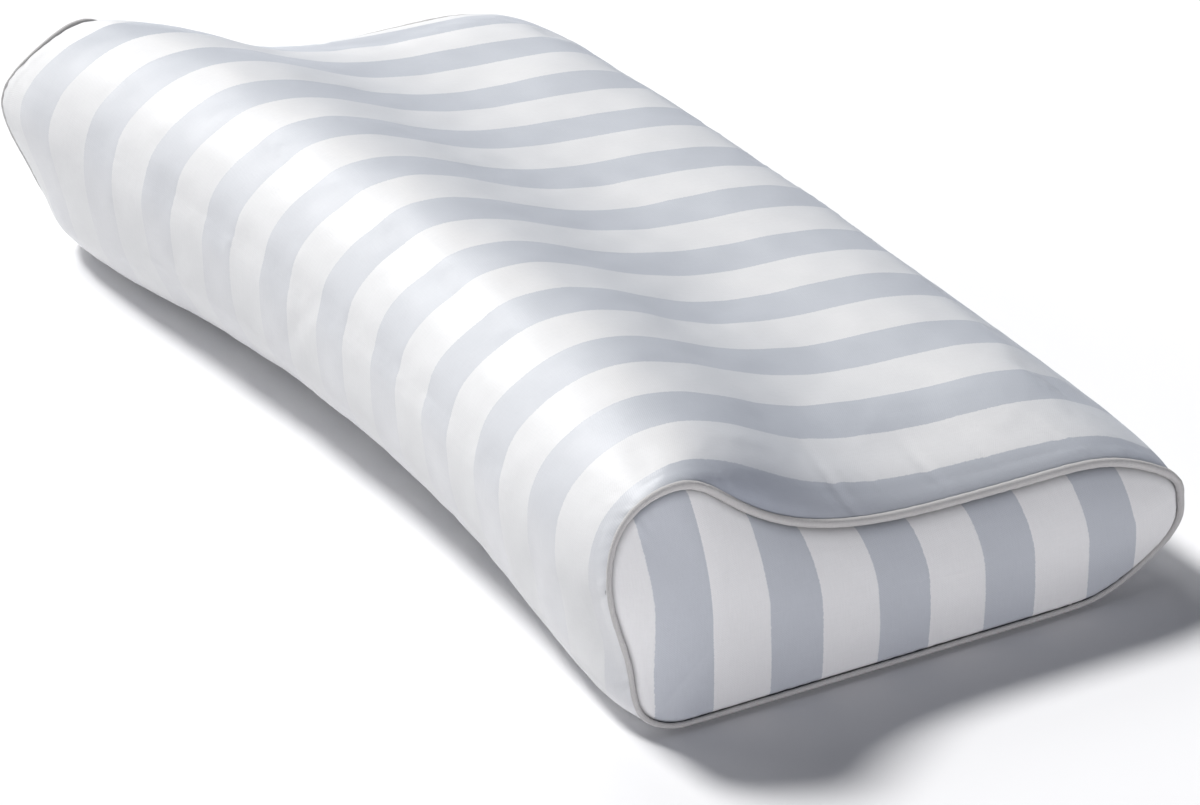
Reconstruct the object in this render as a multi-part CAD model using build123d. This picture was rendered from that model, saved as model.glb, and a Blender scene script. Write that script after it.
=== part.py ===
from build123d import *
import math
import os

# Contour pillow: a moulded foam core in a liner, inside a zipped cover with piped end panels.
#
# Millimetres, +Z up. X runs along the pillow, -Y is the front (the high neck roll) and +Y the back,
# where the zip is. The origin is under the middle of the pillow, on the surface that it rests on.

# Overall sizes of the pillow.
LENGTH = 600.0            # over the crowns of the two end panels
DEPTH = 290.0             # from the front corners to the back wall
RIDGE_HEIGHT = 122.0      # top of the neck roll, at mid-length
PLATEAU_HEIGHT = 89.0     # the lower half behind it, at mid-length
RIDGE_END_DROP = 10.0     # how much lower the roll is at the end seams
PLATEAU_END_DROP = 21.0   # how much lower the plateau is at the end seams
NECK_HOLLOW = 13.0        # how far the front face is hollowed at mid-length
FOOT_HOLLOW = 40.0        # the same at the foot of the front face
CONTOUR_DEPTH = 290.0     # the depth that the outline's points below are written for
CONTOUR_PLATEAU = 89.0    # the plateau height that the heights on the back wall are written for

# Fabric and foam layers, from the outside in. An inset is a distance inside the outer surface.
COVER_THICKNESS = 1.6
LINER_INSET = 3.2
LINER_THICKNESS = 0.6
FOAM_GAP = 0.3

# End seams.
END_CROWN = 4.5           # how far an end panel stands out of its piping
END_ROUNDING = 8.0        # how far in from the outline the flat of an end panel starts
CROWN_STEP = (0.7, 0.35)  # middle of the rounding: shares of END_CROWN and of END_ROUNDING
PIPING_WIDTH = 4.0        # along X
PIPING_PROUD = 2.0        # how far the piping stands out of the surface
PIPING_WALL = 0.8
PIPING_TAIL = 2.4         # how far the piping reaches in between the panels
PIPING_CORD_GAP = 0.2

# Zip, on the straight back wall.
ZIP_HEIGHT = 39.0 * PLATEAU_HEIGHT / CONTOUR_PLATEAU  # middle of the zip above the floor
ZIP_LENGTH = 400.0        # length of the toothed part
WALL_FLAT = 26.0          # height of the flat part of the back wall, centred on the zip
SLOT_HEIGHT = 8.4         # opening between the two sewn edges of the cover
SLOT_OVERRUN = 4.0        # how far the opening runs past the teeth
TAPE_WIDTH = 10.5
TAPE_THICKNESS = 0.5
TAPE_OVERRUN = 10.0       # how far the tapes run past the teeth
TEETH_WIDTH = 2.1         # one row
TEETH_THICKNESS = 1.4
TEETH_ROUNDING = 0.6      # radius along the outer edges of a row
TEETH_GAP = 1.3           # between the two rows, where the post of the slider runs
FABRIC_GAP = 0.1          # between layers that are sewn flat on each other

SLIDER_LENGTH = 9.0
SLIDER_PLATE = 1.1
SLIDER_CLEARANCE = 0.2
SLIDER_FLANGE = 0.7
SLIDER_ROUNDING = 1.65    # corners of the outer plate
BACK_PLATE_SHORTER = 1.0  # how much shorter the inner plate is at each end
BACK_PLATE_ROUNDING = 1.1
POST_WIDTH = 0.8
POST_LENGTH = 2.0
BAIL_LENGTH = 6.4         # the small arch that holds the pull tab
BAIL_THICKNESS = 0.9
BAIL_WIDTH = 1.2
BAIL_OPENING = 1.7
STOP_LENGTH = 2.0
STOP_GAP = 0.4            # between the slider at rest and the top stops
OPEN_GAP = 3.0            # between the slider when open and the bottom stop

TAB_LENGTH = 24.0
TAB_WIDTH = 7.0
TAB_THICKNESS = 1.0
TAB_WINDOW = 5.0          # length of the hole that the bail passes through
TAB_CLEARANCE = 0.35      # each side of the bail
TAB_BAR = 0.45            # radius of the bar that turns in the bail
TAB_ROUNDING = 3.1        # corners of the free end

LABEL_LENGTH = 30.0
LABEL_WIDTH = 18.0
LABEL_THICKNESS = 0.4
LABEL_GAP = 0.3

# Places that follow from the sizes above.
HALF = LENGTH / 2
PIPING_OUT = HALF - END_CROWN
PIPING_IN = PIPING_OUT - PIPING_WIDTH
END_SEAM = (PIPING_IN + PIPING_OUT) / 2
LOFT_LENGTH = END_SEAM + PIPING_WIDTH
LINER_SEAM = PIPING_OUT - 2 * LINER_INSET
WALL_LOW = ZIP_HEIGHT - WALL_FLAT / 2
WALL_HIGH = ZIP_HEIGHT + WALL_FLAT / 2
WALL = DEPTH / 2
SEAM_SETBACK = 4.0         # how far inside the flat of the underside its seams run
LIFT = PIPING_PROUD + 0.5  # the end seams clear the floor by a little more than the piping
EPSILON = 5.0              # how far cutting shapes run past what they cut
STATIONS = 12              # sections from mid-length to each end seam, closer together near the seam
SEAM_STEPS = 4             # points of the underside's front seam, from mid-length to each end
FLAT = 0.05                # taken off the underside, so that it rests on a true plane
WALL_RISE = 8.0            # how much higher the flat of the back wall starts at the end seams


# Shape of the pillow. s is the distance from mid-length as a share of the way to an end seam.
def crown(s):
    """How the top falls towards the end seams: slowly, then round the edge."""
    return 0.5 * s**2 + 0.5 * s**8


def face_sweep(s):
    """How the hollowed front face comes forward to its corners, then turns in a little."""
    return 1.9 * s**2 - 0.9 * s**6


def foot_sweep(s):
    """How the foot of the front face comes forward."""
    return 1.25 * s**2 - 0.25 * s**4


def curl(s):
    """How the underside curls up into the end seams."""
    return s**12


def contour(s):
    """Outline across the pillow as (y, z) points: front and top, back wall, back foot."""
    scale = DEPTH / CONTOUR_DEPTH
    ridge = RIDGE_HEIGHT - RIDGE_END_DROP * crown(s)
    plateau = PLATEAU_HEIGHT - PLATEAU_END_DROP * crown(s)
    lift = LIFT * curl(s)
    front = -WALL + NECK_HOLLOW * (1 - face_sweep(s))
    foot = -WALL + FOOT_HOLLOW * (1 - foot_sweep(s))

    def across(middle, end):
        """Distance forward of the back wall, which changes from mid-length to the end seams."""
        return WALL - scale * (middle + (end - middle) * crown(s))

    def between(middle, end):
        """A value that changes from mid-length to the end seams."""
        return middle + (end - middle) * crown(s)

    front_and_top = [
        (foot + scale * between(35.0, 32.0), lift),
        (foot - scale * between(9.0, -16.5), lift + ridge * between(0.15, 0.035)),
        (front + scale * between(3.4, 9.3), ridge * between(0.34, 0.25)),
        (front, ridge * between(0.58, 0.635)),
        (front + scale * between(4.4, 5.6), ridge * between(0.803, 0.847)),
        (front + scale * between(21.6, 17.6), ridge * between(0.931, 0.955)),
        (across(226.2, 251.1), ridge),
        (across(191.6, 227.6), ridge - (ridge - plateau) * between(0.18, 0.32)),
        (across(166.8, 199.6), ridge - (ridge - plateau) * between(0.486, 0.703)),
        (across(142.1, 168.6), ridge - (ridge - plateau) * between(0.743, 0.904)),
        (across(107.4, 119.6), plateau + between(2.4, 0.5)),
        (across(72.8, 75.6), plateau),
        (across(38.1, 41.6), plateau * between(0.945, 0.97)),
        (across(11.0, 12.6), plateau * between(0.80, 0.81)),
        (WALL, min(WALL_HIGH, plateau * between(0.574, 0.61))),
    ]
    wall_low = WALL_LOW + WALL_RISE * curl(s)
    back_foot = [
        (WALL, wall_low),
        (across(12.0, 17.6), lift + 0.36 * wall_low),
        (across(37.6, 57.6), lift),
    ]
    return front_and_top, back_foot


def outline(s, inset):
    """Closed outline at one place along the pillow, moved inwards by inset, in the Y-Z plane."""
    front_and_top, back_foot = contour(s)

    def moved(edge, points):
        """The points of an edge, each moved square to it."""
        inside = []
        for y, z in points:
            run = edge.tangent_at(Vector(0, y, z))
            inside.append(Vector(0, y, z) + Vector(0, run.Z, -run.Y).normalized() * inset)
        return inside

    def smooth(points, start, end):
        """A spline through the points with the given directions at its ends."""
        return Spline(*points, tangents=(start, end), tangent_scalars=(1, 1))

    forward = (0, -1, 0)
    down = (0, 0, -1)
    top = smooth([(0, y, z) for y, z in front_and_top], forward, down)
    foot = smooth([(0, y, z) for y, z in back_foot], down, forward)
    top_points = moved(top, front_and_top)
    foot_points = moved(foot, back_foot)
    edges = [
        smooth(top_points, forward, down),
        Line(top_points[-1], foot_points[0]),
        smooth(foot_points, down, forward),
        Line(foot_points[-1], top_points[0]),
    ]
    return Face(Wire(edges))


def section(x, inset):
    """The pillow's section at x, a plane face."""
    return Pos(X=x) * outline(min(abs(x) / END_SEAM, 1.0), inset)


def body(inset):
    """The pillow between its end seams, moved inwards by inset."""
    steps = range(-STATIONS, STATIONS + 1)
    shares = [math.sin(math.pi / 2 * step / STATIONS) for step in steps]
    return loft([section(share * END_SEAM, inset) for share in shares], ruled=True)


def end_crown(side, inset):
    """The crowned end beyond an end seam, moved inwards by inset. side is 1 or -1."""
    out_share, in_share = CROWN_STEP
    middle = PIPING_OUT + out_share * END_CROWN - inset
    steps = [(PIPING_OUT - 2 * inset, 0.0), (middle, in_share), (HALF - inset, 1.0)]
    faces = [Pos(X=side * x) * outline(1.0, inset + share * END_ROUNDING) for x, share in steps]
    return loft(faces, ruled=True)


def slab(x_low, x_high, y_low, y_high, z_low, z_high):
    """A box between the given limits."""
    size = Box(x_high - x_low, y_high - y_low, z_high - z_low)
    return Pos((x_low + x_high) / 2, (y_low + y_high) / 2, (z_low + z_high) / 2) * size


def beyond(side, x):
    """Everything past x at one end."""
    near, far = sorted((side * x, side * LENGTH))
    return slab(near, far, -DEPTH, DEPTH, -EPSILON, RIDGE_HEIGHT + EPSILON)


def within(x):
    """Everything between -x and x."""
    return slab(-x, x, -DEPTH, DEPTH, -EPSILON, RIDGE_HEIGHT + EPSILON)


def ring(side, x_low, x_high, outer_inset, inner_inset):
    """A band that follows the end seam between two insets."""
    start = min(side * x_low, side * x_high)
    outer = extrude(Pos(X=start) * outline(1.0, outer_inset), x_high - x_low, dir=(1, 0, 0))
    inner = extrude(Pos(X=start) * outline(1.0, inner_inset), x_high - x_low, dir=(1, 0, 0))
    return outer - inner


# Cover, piping, liner and foam.
def cover_pieces():
    """The four fabric panels of the cover."""
    shell = body(0) - body(COVER_THICKNESS)
    ends_off = slab(-PIPING_IN, PIPING_IN, -DEPTH, DEPTH, FLAT, RIDGE_HEIGHT + EPSILON)
    shell = shell & ends_off

    # The underside seam runs just behind the foot of the front face and before the back foot.
    places = [step / SEAM_STEPS * LOFT_LENGTH for step in range(-SEAM_STEPS, SEAM_STEPS + 1)]
    seam = []
    for x in places:
        front_and_top = contour(min(abs(x) / END_SEAM, 1.0))[0]
        seam.append((x, front_and_top[0][0] + SEAM_SETBACK))
    back_foot = contour(1.0)[1]
    back_seam = back_foot[-1][0] - SEAM_SETBACK
    footprint = Wire(
        [
            Spline(*seam),
            Line(seam[-1], (LOFT_LENGTH, back_seam)),
            Line((LOFT_LENGTH, back_seam), (-LOFT_LENGTH, back_seam)),
            Line((-LOFT_LENGTH, back_seam), seam[0]),
        ]
    )
    under = extrude(Pos(Z=-EPSILON) * Face(footprint), EPSILON + WALL_LOW / 2, dir=(0, 0, 1))
    bottom = shell & under
    wrap = shell - under

    slot_end = ZIP_LENGTH / 2 + SLOT_OVERRUN
    slot_low = ZIP_HEIGHT - SLOT_HEIGHT / 2
    slot = slab(-slot_end, slot_end, WALL - EPSILON, WALL + EPSILON, slot_low, slot_low + SLOT_HEIGHT)
    wrap = wrap - slot
    below_zip = slab(-LOFT_LENGTH, LOFT_LENGTH, 0, DEPTH, -EPSILON, ZIP_HEIGHT)
    return {
        "cover_wrap_panel": wrap - below_zip,
        "cover_back_strip": wrap & below_zip,
        "cover_bottom_panel": bottom,
    }


def end_pieces():
    """Both end panels with their piping, the filler cords of the piping, and the liner's ends."""
    pieces = {}
    for name, side in (("left", -1), ("right", 1)):
        panel = (end_crown(side, 0) - end_crown(side, COVER_THICKNESS)) & beyond(side, PIPING_OUT)
        pieces[f"cover_end_panel_{name}"] = panel

        sleeve = ring(side, PIPING_IN, PIPING_OUT, -PIPING_PROUD, PIPING_TAIL)
        hollow_in = PIPING_IN + PIPING_WALL
        hollow_out = PIPING_OUT - PIPING_WALL
        hollow = ring(side, hollow_in, hollow_out, PIPING_WALL - PIPING_PROUD, LINER_INSET)
        pieces[f"end_piping_{name}"] = sleeve - hollow
        edge = PIPING_WALL + PIPING_CORD_GAP
        cord_inset = edge - PIPING_PROUD
        cord_width = PIPING_WIDTH - 2 * edge
        cord = ring(side, PIPING_IN + edge, PIPING_OUT - edge, cord_inset, cord_inset + cord_width)
        pieces[f"piping_cord_{name}"] = cord
        liner_end = end_crown(side, LINER_INSET) - end_crown(side, LINER_INSET + LINER_THICKNESS)
        pieces[f"liner_end_{name}"] = liner_end & beyond(side, LINER_SEAM)
    return pieces


def inner_pieces():
    """The liner's sleeve and the foam core inside it."""
    sleeve = (body(LINER_INSET) - body(LINER_INSET + LINER_THICKNESS)) & within(LINER_SEAM)
    foam_inset = LINER_INSET + LINER_THICKNESS + FOAM_GAP
    foam = body(foam_inset) & within(PIPING_OUT - 2 * foam_inset)
    for side in (-1, 1):
        foam = foam + end_crown(side, foam_inset)
    return {"liner_sleeve": sleeve, "foam_core": foam}


# Zip. Depths below are distances in from the outer face of the back wall.
TEETH_BACK = COVER_THICKNESS + FABRIC_GAP
TAPE_BACK = TEETH_BACK + TAPE_THICKNESS
CLOSED_END = ZIP_LENGTH / 2
SLIDER_X = CLOSED_END - STOP_LENGTH - STOP_GAP - SLIDER_LENGTH / 2
SLIDER_TRAVEL = SLIDER_X - SLIDER_LENGTH / 2 + CLOSED_END - STOP_LENGTH - OPEN_GAP
BAIL_X = SLIDER_X
BAR_DEPTH = -SLIDER_PLATE - BAIL_OPENING / 2


def at_wall(x_low, x_high, deep, shallow, z_low, z_high):
    """A box on the back wall, between two depths, with heights from the middle of the zip."""
    return slab(x_low, x_high, WALL - deep, WALL - shallow, ZIP_HEIGHT + z_low, ZIP_HEIGHT + z_high)


def zip_pieces():
    """Tapes, rows of teeth and stops, all sewn into the cover."""
    half = ZIP_LENGTH / 2
    tape_end = half + TAPE_OVERRUN
    inner_edge = TEETH_GAP / 2
    outer_edge = inner_edge + TEETH_WIDTH
    teeth_top = TEETH_BACK - TEETH_THICKNESS
    pieces = {}
    for name, up in (("upper", 1), ("lower", -1)):
        tape_z = sorted((up * inner_edge, up * (inner_edge + TAPE_WIDTH)))
        pieces[f"zip_tape_{name}"] = at_wall(-tape_end, tape_end, TAPE_BACK, TEETH_BACK, *tape_z)
        teeth_z = sorted((up * inner_edge, up * outer_edge))
        teeth = at_wall(-half + STOP_LENGTH, half - STOP_LENGTH, TEETH_BACK, teeth_top, *teeth_z)
        crest = teeth.edges().filter_by(Axis.X).group_by(Axis.Y)[-1]
        pieces[f"zip_teeth_{name}"] = fillet(crest, TEETH_ROUNDING)
    top_stops = []
    for up in (1, -1):
        stop_z = sorted((up * inner_edge, up * outer_edge))
        top_stops.append(at_wall(half - STOP_LENGTH, half, TEETH_BACK, teeth_top, *stop_z))
    pieces["zip_top_stops"] = Compound(children=top_stops)
    bottom_stop = at_wall(-half, STOP_LENGTH - half, TEETH_BACK, teeth_top, -outer_edge, outer_edge)
    pieces["zip_bottom_stop"] = bottom_stop
    return pieces


def slider():
    """The slider: two plates joined by a post between the teeth, flanges, and the bail."""
    low = SLIDER_X - SLIDER_LENGTH / 2
    high = SLIDER_X + SLIDER_LENGTH / 2
    teeth_edge = TEETH_GAP / 2 + TEETH_WIDTH
    rim = teeth_edge + SLIDER_CLEARANCE + SLIDER_FLANGE
    front_face = TEETH_BACK - TEETH_THICKNESS - SLIDER_CLEARANCE
    back_face = TAPE_BACK + SLIDER_CLEARANCE
    back_plate = LINER_INSET - SLIDER_CLEARANCE
    front = at_wall(low, high, front_face, -SLIDER_PLATE, -rim, rim)
    solid = fillet(front.edges().filter_by(Axis.Y), SLIDER_ROUNDING)
    flange_low = low + SLIDER_ROUNDING
    flange_high = high - SLIDER_ROUNDING
    flange_back = TEETH_BACK - SLIDER_CLEARANCE
    for up in (1, -1):
        flange_z = sorted((up * (rim - SLIDER_FLANGE), up * rim))
        solid += at_wall(flange_low, flange_high, flange_back, front_face, *flange_z)
    post_high = high - POST_LENGTH
    half_post = POST_WIDTH / 2
    solid += at_wall(post_high - POST_LENGTH, post_high, back_face, front_face, -half_post, half_post)
    back_low = low + BACK_PLATE_SHORTER
    back_high = high - BACK_PLATE_SHORTER
    back = at_wall(back_low, back_high, back_plate, back_face, -teeth_edge, teeth_edge)
    solid += fillet(back.edges().filter_by(Axis.Y), BACK_PLATE_ROUNDING)

    arch_out = -SLIDER_PLATE - BAIL_OPENING - BAIL_THICKNESS
    half_bail = BAIL_LENGTH / 2
    half_width = BAIL_WIDTH / 2
    arch = at_wall(
        BAIL_X - half_bail, BAIL_X + half_bail, -SLIDER_PLATE, arch_out, -half_width, half_width
    )
    arch = fillet(arch.edges().filter_by(Axis.Z).group_by(Axis.Y)[-1], BAIL_THICKNESS)
    opening_half = half_bail - BAIL_THICKNESS
    opening = at_wall(
        BAIL_X - opening_half,
        BAIL_X + opening_half,
        -SLIDER_PLATE,
        arch_out + BAIL_THICKNESS,
        -BAIL_WIDTH,
        BAIL_WIDTH,
    )
    return solid + (arch - opening)


def pull_tab():
    """The tab, lying along the closed zip, with the bar that turns under the bail."""
    half_window = BAIL_WIDTH / 2 + TAB_CLEARANCE
    shallow = BAR_DEPTH - TAB_THICKNESS / 2
    deep = BAR_DEPTH + TAB_THICKNESS / 2
    plate = at_wall(BAIL_X - TAB_LENGTH, BAIL_X, deep, shallow, -TAB_WIDTH / 2, TAB_WIDTH / 2)
    far = plate.edges().filter_by(Axis.Y).group_by(Axis.X)[0]
    tab = fillet(far, TAB_ROUNDING)
    arms_wide = half_window + TAB_THICKNESS
    cut_low = BAIL_X - TAB_BAR - TAB_WINDOW
    cut_high = BAIL_X + EPSILON
    # The window between the two arms, then what lies outside each arm.
    for cut_z in ((-half_window, half_window), (arms_wide, TAB_WIDTH), (-TAB_WIDTH, -arms_wide)):
        tab -= at_wall(cut_low, cut_high, deep + EPSILON, shallow - EPSILON, *cut_z)
    bar = Pos(BAIL_X, WALL - BAR_DEPTH, ZIP_HEIGHT) * Cylinder(TAB_BAR, 2 * arms_wide)
    return tab + bar


def care_label():
    """A blank label sewn into the left end seam, lying against the back wall."""
    low = -PIPING_IN
    return slab(
        low,
        low + LABEL_LENGTH,
        WALL + LABEL_GAP,
        WALL + LABEL_GAP + LABEL_THICKNESS,
        ZIP_HEIGHT - LABEL_WIDTH / 2,
        ZIP_HEIGHT + LABEL_WIDTH / 2,
    )


pieces = {
    **cover_pieces(),
    **end_pieces(),
    **inner_pieces(),
    **zip_pieces(),
    "zip_slider": slider(),
    "zip_pull_tab": pull_tab(),
    "care_label": care_label(),
}

# The origin goes under the middle of the whole pillow.
boxes = [piece.bounding_box() for piece in pieces.values()]
middle_y = (min(box.min.Y for box in boxes) + max(box.max.Y for box in boxes)) / 2
floor = min(box.min.Z for box in boxes)
to_origin = Pos(0, -middle_y, -floor)

os.makedirs("parts", exist_ok=True)
for node, piece in pieces.items():
    export_step(to_origin * piece, f"parts/{node}.step")

print("moved by", round(-middle_y, 4), round(-floor, 4))
print("zip slide along X, range", round(-SLIDER_TRAVEL, 4), "to 0")
tab_hinge = (BAIL_X, WALL - BAR_DEPTH - middle_y, ZIP_HEIGHT - floor)
print("pull tab hinge at", [round(value, 4) for value in tab_hinge], "axis -Z")
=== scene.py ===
"""Contour pillow in a satin-striped, zipped and piped cover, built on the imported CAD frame.

The shape functions follow the CAD's, with a little more fall at the end seams, and work in millimetres;
make_piece() shifts the far end and turns them into metres.
"""

import math

import bmesh
import bpy
import numpy as np
from mathutils import Matrix, Vector
from mathutils.kdtree import KDTree


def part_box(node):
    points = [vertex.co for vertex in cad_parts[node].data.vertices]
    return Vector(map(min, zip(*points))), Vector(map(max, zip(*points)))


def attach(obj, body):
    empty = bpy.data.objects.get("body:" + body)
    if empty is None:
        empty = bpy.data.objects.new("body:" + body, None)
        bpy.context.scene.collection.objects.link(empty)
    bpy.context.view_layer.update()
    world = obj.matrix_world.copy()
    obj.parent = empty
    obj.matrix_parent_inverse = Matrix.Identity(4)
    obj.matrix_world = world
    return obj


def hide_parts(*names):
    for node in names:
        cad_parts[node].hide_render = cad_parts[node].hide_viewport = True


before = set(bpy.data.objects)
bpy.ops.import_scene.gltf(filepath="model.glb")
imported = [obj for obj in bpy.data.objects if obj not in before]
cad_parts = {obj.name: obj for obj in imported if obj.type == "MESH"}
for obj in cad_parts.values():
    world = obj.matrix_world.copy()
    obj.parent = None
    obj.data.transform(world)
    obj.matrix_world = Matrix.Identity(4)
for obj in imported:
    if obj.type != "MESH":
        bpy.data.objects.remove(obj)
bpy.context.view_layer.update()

# Driving dimensions, in millimetres. Apart from slightly larger end drops they are the CAD's.
DEPTH = 290.0
RIDGE_HEIGHT = 122.0       # top of the neck roll, at mid-length
PLATEAU_HEIGHT = 89.0      # the lower half behind it
RIDGE_END_DROP = 11.0      # how much lower each of the two is at the end seams
PLATEAU_END_DROP = 22.5
NECK_HOLLOW = 13.0         # how far the front face is hollowed at mid-length
FOOT_HOLLOW = 40.0         # and its foot
WALL = DEPTH / 2
WALL_LOW = 26.0            # the back wall is flat between these two heights
WALL_HIGH = 52.0
WALL_RISE = 8.0            # how much higher its flat part starts at the end seams
LIFT = 2.5                 # of the underside at the end seams
FRONT_TURN_IN = 1.0        # how far the front face turns in at the end seams
ZIP_HEIGHT = 39.0
ZIP_LENGTH = 400.0
SLOT_HALF = 4.2            # half the opening over the teeth
SLOT_OVERRUN = 4.0         # how far the opening runs past the teeth
SEAM_SETBACK = 4.0         # how far inside the flat of the underside its seams run
SEAM_GAP = 0.7             # from an underside seam to the fold on each side of it
SIDE_FACE = 298.3          # where the middle of an end panel stands

# How far the end seam is set back from the end panel's face: everywhere, and more on each side.
SETBACK = 1.5
SETBACK_TOP = 9.5
SETBACK_FRONT = 9.0
SETBACK_BACK = 8.0
LEAN = 6.0                 # how far the end panel's stripes are pulled forward at the top seam

PIPING_RADIUS = 2.0
PIPING_RADIUS_LOW = 1.2    # along the front and the underside, where it is pulled tight
CORD_RADIUS = 1.0
LINER_INSET = 3.2          # distances inside the cover's outer surface
FOAM_INSET = 4.1

STRIPE_PITCH = 53.96
STRIPE_WIDTH = 25.7        # of the grey satin stripe
WRAP_STRIPE_START = 272.8  # where one grey stripe starts, along the pillow
END_STRIPE_START = -17.5   # and across the end panels

ROW_STEP = 1.9             # between mesh rows round the outline
COLUMN_STEP = 2.3          # between mesh columns along the pillow
EDGE_BAND = 20.0           # near the end seams the columns are closer
EDGE_STEP = 1.0
END_RINGS = 36             # of an end panel's mesh

# The CAD is moved so that its origin is under the middle of the outer box.
SHIFT_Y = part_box("cover_wrap_panel")[1].y * 1000 - WALL
SHIFT_Z = -0.05
MM = 0.001                 # metres in a millimetre


# Shape of the pillow. s is the distance from mid-length as a share of the way to an end seam.
def crown(s):
    """How the top falls towards the end seams: slowly, then sharply round the edge."""
    s = np.abs(s)
    return 0.33 * s**2 + 0.35 * s**8 + 0.32 * s**40


def face_sweep(s):
    """How the hollowed front face comes forward to its corners, then turns in a little."""
    s = np.abs(s)
    return 1.9 * s**2 - 0.9 * s**6


def foot_sweep(s):
    """How the foot of the front face comes forward."""
    s = np.abs(s)
    return 1.25 * s**2 - 0.25 * s**4


def curl(s):
    """How the underside curls up into the end seams."""
    return np.abs(s) ** 12


def contour(s):
    """Control points (point, station, y z) of the section at each s: front and top, and back foot."""
    s = np.atleast_1d(s)
    ridge = RIDGE_HEIGHT - RIDGE_END_DROP * crown(s)
    plateau = PLATEAU_HEIGHT - PLATEAU_END_DROP * crown(s)
    lift = LIFT * curl(s)
    front = -WALL + NECK_HOLLOW * (1 - face_sweep(s)) + FRONT_TURN_IN * np.abs(s) ** 36
    foot = -WALL + FOOT_HOLLOW * (1 - foot_sweep(s))

    def between(middle, end):
        return middle + (end - middle) * crown(s)

    def across(middle, end):
        return WALL - between(middle, end)

    front_and_top = [
        (foot + between(35.0, 32.0), lift),
        (foot - between(9.0, -16.5), lift + ridge * between(0.15, 0.035)),
        (front + between(3.4, 9.3), ridge * between(0.34, 0.25)),
        (front, ridge * between(0.58, 0.635)),
        (front + between(4.4, 5.6), ridge * between(0.803, 0.847)),
        (front + between(21.6, 17.6), ridge * between(0.931, 0.955)),
        (across(226.2, 251.1), ridge),
        (across(191.6, 227.6), ridge - (ridge - plateau) * between(0.18, 0.32)),
        (across(166.8, 199.6), ridge - (ridge - plateau) * between(0.486, 0.703)),
        (across(142.1, 168.6), ridge - (ridge - plateau) * between(0.743, 0.904)),
        (across(107.4, 119.6), plateau + between(2.4, 0.5)),
        (across(72.8, 75.6), plateau),
        (across(38.1, 41.6), plateau * between(0.945, 0.97)),
        (across(11.0, 12.6), plateau * between(0.80, 0.81)),
        (WALL + 0 * s, np.minimum(WALL_HIGH, plateau * between(0.574, 0.61))),
    ]
    wall_low = WALL_LOW + WALL_RISE * curl(s)
    back_foot = [
        (WALL + 0 * s, wall_low),
        (across(12.0, 17.6), lift + wall_low * 0.36),
        (across(37.6, 57.6), lift),
    ]
    return stacked(front_and_top), stacked(back_foot)


def stacked(points):
    """A list of (y, z) pairs of arrays as one array (point, station, 2)."""
    return np.array([np.stack(pair, axis=-1) for pair in points])


def clamped_spline(points, start, end, counts):
    """Samples (sample, station, 2) of the cubic spline through points, with unit tangents at its ends."""
    n, stations, _ = points.shape
    chords = np.linalg.norm(np.diff(points, axis=0), axis=2)
    matrix = np.zeros((stations, n, n))
    right = np.zeros((stations, n, 2))
    matrix[:, 0, 0] = matrix[:, -1, -1] = 1
    right[:, 0] = start
    right[:, -1] = end
    for i in range(1, n - 1):
        before, after = chords[i - 1], chords[i]
        matrix[:, i, i - 1] = after
        matrix[:, i, i] = 2 * (before + after)
        matrix[:, i, i + 1] = before
        steps_in = (points[i] - points[i - 1]) * (after / before)[:, None]
        steps_out = (points[i + 1] - points[i]) * (before / after)[:, None]
        right[:, i] = 3 * (steps_in + steps_out)
    slopes = np.linalg.solve(matrix, right).transpose(1, 0, 2)
    samples = []
    for i in range(n - 1):
        for t in np.arange(counts[i]) / counts[i]:
            chord = chords[i][:, None]
            samples.append(
                (2 * t**3 - 3 * t**2 + 1) * points[i]
                + (t**3 - 2 * t**2 + t) * chord * slopes[i]
                + (3 * t**2 - 2 * t**3) * points[i + 1]
                + (t**3 - t**2) * chord * slopes[i + 1]
            )
    samples.append(points[-1])
    return np.array(samples)


def row_counts(points, step):
    """How many rows each span of a spline gets, from its lengths at mid-length."""
    lengths = np.linalg.norm(np.diff(points[:, 0], axis=0), axis=1)
    return np.maximum(1, np.ceil(lengths / step)).astype(int)


MID_TOP, MID_FOOT = contour(0.0)


def section_rows(s, step=ROW_STEP):
    """Rows (row, station, y z) of the front and top, and of the back foot, at each s."""
    top, foot = contour(s)
    top_rows = clamped_spline(top, (-1, 0), (0, -1), row_counts(MID_TOP, step))
    foot_rows = clamped_spline(foot, (0, -1), (-1, 0), row_counts(MID_FOOT, step))
    return top_rows, foot_rows


def outward(rows, closed=False):
    """Unit normals (row, ..., y z) of rows that run front, top, back."""
    if closed:
        run = np.roll(rows, -1, axis=0) - np.roll(rows, 1, axis=0)
    else:
        run = np.gradient(rows, axis=0)
    normal = np.stack([-run[..., 1], run[..., 0]], axis=-1)
    return normal / np.maximum(np.linalg.norm(normal, axis=-1, keepdims=True), 1e-9)


def smoothed(values, turns, closed=False):
    """Values along the first axis after repeated averaging with their neighbours."""
    for _ in range(turns):
        if closed:
            before, after = np.roll(values, 1, axis=0), np.roll(values, -1, axis=0)
        else:
            before = np.concatenate([values[:1], values[:-1]])
            after = np.concatenate([values[1:], values[-1:]])
        values = 0.25 * before + 0.5 * values + 0.25 * after
    return values


def arc_length(rows):
    """Running length along the first axis."""
    steps = np.linalg.norm(np.diff(rows, axis=0), axis=-1)
    return np.concatenate([np.zeros_like(steps[:1]), np.cumsum(steps, axis=0)])


def waves(u, v, wavelength, seed, count=14):
    """Smooth irregular waves over (u, v), about -1 to 1, the same on every run."""
    draw = np.random.default_rng(seed)
    total = 0 * u * v
    for _ in range(count):
        angle = draw.uniform(0, math.tau)
        size = math.tau / (wavelength * draw.uniform(0.7, 1.5))
        phase = draw.uniform(0, math.tau)
        total = total + np.sin(size * (math.cos(angle) * u + math.sin(angle) * v) + phase)
    return total / math.sqrt(count)


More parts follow.
